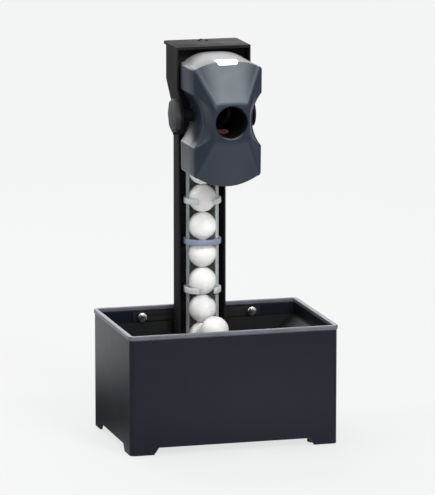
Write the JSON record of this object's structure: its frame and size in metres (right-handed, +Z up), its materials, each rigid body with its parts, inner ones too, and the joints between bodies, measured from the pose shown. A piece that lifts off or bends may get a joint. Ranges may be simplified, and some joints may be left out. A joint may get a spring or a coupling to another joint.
{
  "type": "table tennis robot",
  "caption": "Table tennis ball robot: open ball bin with a feed disc, a mast with a clear feed tube, and a faceted throwing head that swings and tilts in a yoke.",
  "frame": {"origin": "middle of the underside, on the surface that the four feet stand on", "axes": "+Z up along the mast, -Y the way the nozzle throws, +X to the right as seen from the front"},
  "size_m": [0.306, 0.212, 0.56],
  "materials": {
    "bin": "satin dark blue-grey moulding",
    "inner_black": "matt black",
    "rubber": "matt black",
    "disc_black": "satin black",
    "motor_steel": "zinc plated",
    "board": "green board",
    "socket_black": "satin black",
    "rocker_red": "gloss red",
    "mast": "dark grey powder coat",
    "bright_steel": "bright plated",
    "clear_tube": "clear plastic tube",
    "clip_grey": "light grey plastic",
    "collar_grey": "blue-grey plastic",
    "pinion_white": "natural nylon",
    "head": "satin grey moulding",
    "lens_white": "white lens",
    "wheel_hub": "black hub",
    "wheel_tyre": "dark red foam rubber",
    "knob": "satin grey",
    "ball": "satin white ball"
  },
  "bodies": {
    "base": {"bin_shell": "bin", "base_plate": "inner_black", "foot_front_left": "rubber", "foot_front_right": "rubber", "foot_back_left": "rubber", "foot_back_right": "rubber", "hopper_tray": "inner_black", "feed_well": "inner_black", "lift_ramp": "inner_black", "feed_motor": "motor_steel", "control_board": "board", "power_inlet": "socket_black", "switch_housing": "socket_black", "mast_bracket": "mast", "thumb_bolt_left": "bright_steel", "thumb_bolt_right": "bright_steel", "mast_channel": "mast", "mast_bolt_1": "motor_steel", "mast_bolt_2": "motor_steel", "ball_tube": "clear_tube", "tube_foot": "inner_black", "tube_clip_1": "clip_grey", "tube_clip_2": "collar_grey", "tube_clip_3": "clip_grey", "mast_head": "inner_black", "pan_motor": "motor_steel", "pan_motor_plate": "mast", "loose_ball": "ball"},
    "feed_wheel": {"feed_disc": "disc_black"},
    "ball_stack": {"ball_1": "ball", "ball_2": "ball", "ball_3": "ball", "ball_4": "ball", "ball_5": "ball", "ball_6": "ball", "ball_7": "ball"},
    "yoke": {"yoke_frame": "mast", "ball_elbow": "inner_black", "pan_gear_shaft": "motor_steel"},
    "swing_pinion": {"pan_pinion": "pinion_white"},
    "head": {"head_front_shell": "head", "head_rear_shell": "head", "head_chassis": "inner_black", "status_lens": "lens_white", "upper_wheel_motor": "motor_steel", "lower_wheel_motor": "motor_steel", "tilt_knob": "knob", "pivot_screw": "motor_steel"},
    "upper_wheel": {"upper_wheel_hub": "wheel_hub", "upper_wheel_tyre": "wheel_tyre"},
    "lower_wheel": {"lower_wheel_hub": "wheel_hub", "lower_wheel_tyre": "wheel_tyre"},
    "rocker": {"power_rocker": "rocker_red"}
  },
  "joints": [
    {"name": "feed_spin", "type": "hinge", "parent": "base", "child": "feed_wheel", "pos_m": [0, 0.013, 0.1], "axis": [0, 0, 1], "continuous": true},
    {"name": "ball_lift", "type": "slide", "parent": "base", "child": "ball_stack", "axis": [0, 0, 1], "range_m": [0, 0.04]},
    {"name": "head_swing", "type": "hinge", "parent": "base", "child": "yoke", "pos_m": [0, 0.067, 0.53], "axis": [0, 0, 1], "range_deg": [-20, 20]},
    {"name": "pinion_spin", "type": "hinge", "parent": "base", "child": "swing_pinion", "pos_m": [-0.0184, 0.07762, 0.53], "axis": [0, 0, 1], "range_deg": [-41, 41]},
    {"name": "head_tilt", "type": "hinge", "parent": "yoke", "child": "head", "pos_m": [0, -0.005, 0.465], "axis": [1, 0, 0], "range_deg": [-12, 12]},
    {"name": "upper_wheel_spin", "type": "hinge", "parent": "head", "child": "upper_wheel", "pos_m": [0, -0.03, 0.5115], "axis": [1, 0, 0], "continuous": true},
    {"name": "lower_wheel_spin", "type": "hinge", "parent": "head", "child": "lower_wheel", "pos_m": [0, -0.03, 0.4185], "axis": [1, 0, 0], "continuous": true},
    {"name": "rocker_press", "type": "hinge", "parent": "base", "child": "rocker", "pos_m": [0.062, 0.101, 0.046], "axis": [1, 0, 0], "range_deg": [0, 14]}
  ],
  "couplings": [
    {"joint": "pinion_spin", "follows": "head_swing", "ratio": -2}
  ]
}
